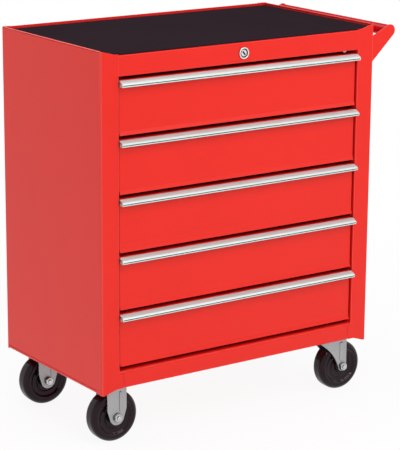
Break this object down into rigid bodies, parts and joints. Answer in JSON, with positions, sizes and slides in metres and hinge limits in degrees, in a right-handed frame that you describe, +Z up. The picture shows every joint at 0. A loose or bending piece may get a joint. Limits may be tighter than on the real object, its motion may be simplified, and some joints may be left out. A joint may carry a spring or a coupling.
{
  "type": "tool cart",
  "caption": "Rolling tool cart: sheet steel cabinet with full-width pull drawers, top tray with mat, side push handle, lock and casters.",
  "frame": {"origin": "on the floor, under the middle of the cart's box", "axes": "+Z up, drawers open towards -Y, push handle and swivel casters on the +X side"},
  "size_m": [0.6755, 0.362, 0.745],
  "materials": {
    "front_red": "gloss powder coat, fine orange peel",
    "cabinet_red": "gloss powder coat, fine orange peel",
    "handle_red": "gloss powder coat",
    "mat_black": "matt, fine ribbed",
    "pull_aluminium": "brushed along its length, satin anodised",
    "tray_red": "gloss powder coat",
    "slide_zinc": "zinc plated, satin",
    "lock_chrome": "polished",
    "lock_zinc": "zinc plated, satin",
    "caster_zinc": "bright zinc plated pressing",
    "bolt_zinc": "bright zinc plated",
    "wheel_black": "moulded, satin"
  },
  "bodies": {
    "cabinet": {"side_panel_left": "cabinet_red", "side_panel_right": "cabinet_red", "back_panel": "cabinet_red", "top_panel": "cabinet_red", "bottom_panel": "cabinet_red", "top_rail": "front_red", "bottom_rail": "front_red", "top_mat": "mat_black", "slide_frame_left": "slide_zinc", "slide_frame_right": "slide_zinc", "handle_bracket_front": "handle_red", "handle_bracket_rear": "handle_red", "handle_tube": "handle_red", "lock_housing": "lock_chrome", "fork_front_left": "caster_zinc", "fork_rear_left": "caster_zinc", "axle_bolt_front_left": "bolt_zinc", "axle_bolt_rear_left": "bolt_zinc", "axle_nut_front_left": "bolt_zinc", "axle_nut_rear_left": "bolt_zinc", "plate_front_right": "caster_zinc", "plate_rear_right": "caster_zinc"},
    "drawer_1": {"drawer_1_front": "front_red", "drawer_1_pull": "pull_aluminium", "drawer_1_tray": "tray_red", "drawer_1_slide_left": "slide_zinc", "drawer_1_slide_right": "slide_zinc"},
    "drawer_2": {"drawer_2_front": "front_red", "drawer_2_pull": "pull_aluminium", "drawer_2_tray": "tray_red", "drawer_2_slide_left": "slide_zinc", "drawer_2_slide_right": "slide_zinc"},
    "drawer_3": {"drawer_3_front": "front_red", "drawer_3_pull": "pull_aluminium", "drawer_3_tray": "tray_red", "drawer_3_slide_left": "slide_zinc", "drawer_3_slide_right": "slide_zinc"},
    "drawer_4": {"drawer_4_front": "front_red", "drawer_4_pull": "pull_aluminium", "drawer_4_tray": "tray_red", "drawer_4_slide_left": "slide_zinc", "drawer_4_slide_right": "slide_zinc"},
    "drawer_5": {"drawer_5_front": "front_red", "drawer_5_pull": "pull_aluminium", "drawer_5_tray": "tray_red", "drawer_5_slide_left": "slide_zinc", "drawer_5_slide_right": "slide_zinc"},
    "lock_barrel": {"lock_plug": "lock_chrome", "lock_rod": "lock_zinc"},
    "lock_bar": {"lock_bar": "lock_zinc"},
    "wheel_front_left": {"wheel_front_left": "wheel_black"},
    "wheel_rear_left": {"wheel_rear_left": "wheel_black"},
    "swivel_front_right": {"fork_front_right": "caster_zinc", "axle_bolt_front_right": "bolt_zinc", "axle_nut_front_right": "bolt_zinc"},
    "wheel_front_right": {"wheel_front_right": "wheel_black"},
    "swivel_rear_right": {"fork_rear_right": "caster_zinc", "axle_bolt_rear_right": "bolt_zinc", "axle_nut_rear_right": "bolt_zinc"},
    "wheel_rear_right": {"wheel_rear_right": "wheel_black"}
  },
  "joints": [
    {"name": "drawer_1_slide", "type": "slide", "parent": "cabinet", "child": "drawer_1", "axis": [0, -1, 0], "range_m": [0, 0.235]},
    {"name": "drawer_2_slide", "type": "slide", "parent": "cabinet", "child": "drawer_2", "axis": [0, -1, 0], "range_m": [0, 0.235]},
    {"name": "drawer_3_slide", "type": "slide", "parent": "cabinet", "child": "drawer_3", "axis": [0, -1, 0], "range_m": [0, 0.235]},
    {"name": "drawer_4_slide", "type": "slide", "parent": "cabinet", "child": "drawer_4", "axis": [0, -1, 0], "range_m": [0, 0.235]},
    {"name": "drawer_5_slide", "type": "slide", "parent": "cabinet", "child": "drawer_5", "axis": [0, -1, 0], "range_m": [0, 0.235]},
    {"name": "lock_turn", "type": "hinge", "parent": "cabinet", "child": "lock_barrel", "pos_m": [-0.0278, -0.171, 0.716], "axis": [0, 1, 0], "range_deg": [0, 90]},
    {"name": "lock_bar_slide", "type": "slide", "parent": "cabinet", "child": "lock_bar", "axis": [0, 0, -1], "range_m": [0, 0.0116]},
    {"name": "wheel_front_left_spin", "type": "hinge", "parent": "cabinet", "child": "wheel_front_left", "pos_m": [-0.2873, -0.1203, 0.05], "axis": [0, 1, 0], "continuous": true},
    {"name": "wheel_rear_left_spin", "type": "hinge", "parent": "cabinet", "child": "wheel_rear_left", "pos_m": [-0.2873, 0.1303, 0.05], "axis": [0, 1, 0], "continuous": true},
    {"name": "caster_front_right_swivel", "type": "hinge", "parent": "cabinet", "child": "swivel_front_right", "pos_m": [0.2212, -0.1203, 0.125], "axis": [0, 0, 1], "continuous": true},
    {"name": "wheel_front_right_spin", "type": "hinge", "parent": "swivel_front_right", "child": "wheel_front_right", "pos_m": [0.2502, -0.1203, 0.05], "axis": [0, 1, 0], "continuous": true},
    {"name": "caster_rear_right_swivel", "type": "hinge", "parent": "cabinet", "child": "swivel_rear_right", "pos_m": [0.2212, 0.1303, 0.125], "axis": [0, 0, 1], "continuous": true},
    {"name": "wheel_rear_right_spin", "type": "hinge", "parent": "swivel_rear_right", "child": "wheel_rear_right", "pos_m": [0.2502, 0.1303, 0.05], "axis": [0, 1, 0], "continuous": true}
  ],
  "couplings": [
    {"joint": "lock_turn", "follows": "lock_bar_slide", "rad_per_m": 135.45}
  ]
}
